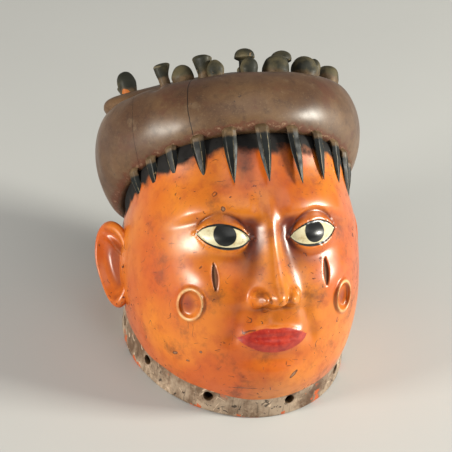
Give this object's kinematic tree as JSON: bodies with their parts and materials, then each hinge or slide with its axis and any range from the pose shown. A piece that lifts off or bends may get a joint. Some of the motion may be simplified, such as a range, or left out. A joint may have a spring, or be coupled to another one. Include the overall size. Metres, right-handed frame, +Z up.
{
  "type": "gelede mask",
  "caption": "Hollow carved wooden helmet mask with a calm painted face, thick head roll, hanging pointed locks and a knobbed crown, worn on the head and tied on through holes in its bare rim",
  "frame": {"origin": "on the plane of the rim's underside, below the middle of the object's outline", "axes": "+Z up out of the crown, the face looks towards -Y, +X to the mask's left"},
  "size_m": [0.2716, 0.342, 0.2749],
  "materials": {
    "painted_wood": "carved wood with glossy orange paint, worn brown and black paint on the hair, bare rim"
  },
  "bodies": {
    "root": {"carved_mask": "painted_wood"}
  },
  "joints": []
}
